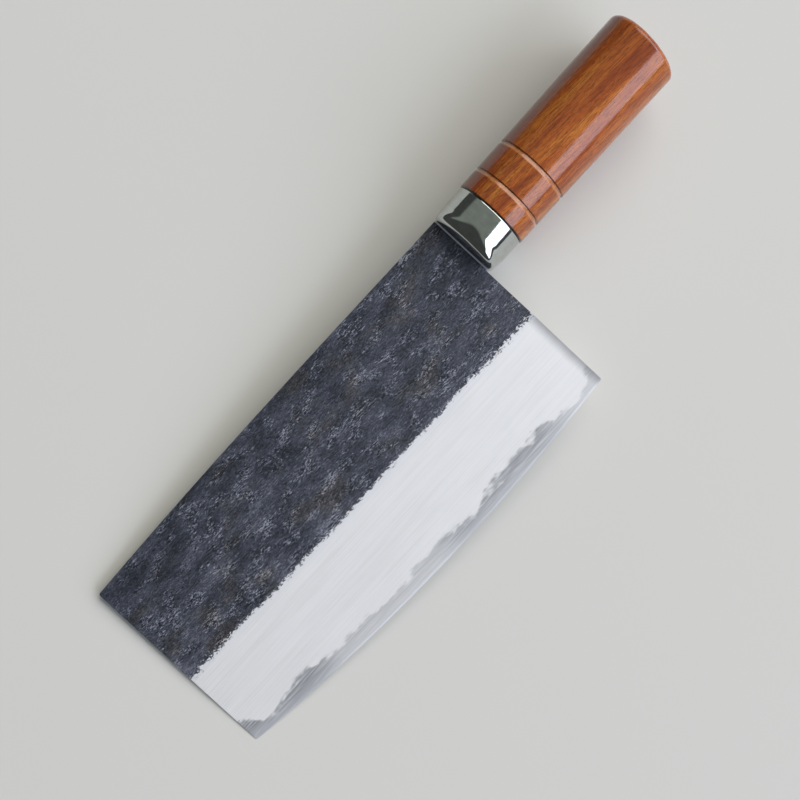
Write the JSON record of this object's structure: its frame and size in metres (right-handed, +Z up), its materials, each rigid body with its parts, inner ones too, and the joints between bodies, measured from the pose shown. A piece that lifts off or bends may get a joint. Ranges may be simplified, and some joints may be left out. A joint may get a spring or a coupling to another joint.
{
  "type": "chinese cleaver",
  "caption": "Broad rectangular kitchen cleaver with a forged laminated blade, polished hollow ferrule and round turned wood handle.",
  "frame": {"origin": "centre of the lying knife's footprint, on the surface that it rests on", "axes": "+X from the front of the blade to the butt, +Y from the cutting edge to the spine, +Z up, out of the left face"},
  "size_m": [0.3067, 0.0964, 0.0387],
  "materials": {
    "core_steel": "satin ground high-carbon steel",
    "forged_cladding": "black forge scale above a satin ground face",
    "tang_steel": "plain drawn mild steel",
    "polished_ferrule": "mirror polished stainless steel",
    "lacquered_wood": "glossy lacquered turned hardwood",
    "cured_adhesive": "cured cast epoxy"
  },
  "bodies": {
    "root": {"blade_core": "core_steel", "left_cladding": "forged_cladding", "right_cladding": "forged_cladding", "tang": "tang_steel", "ferrule": "polished_ferrule", "handle": "lacquered_wood", "tang_adhesive": "cured_adhesive"}
  },
  "joints": []
}
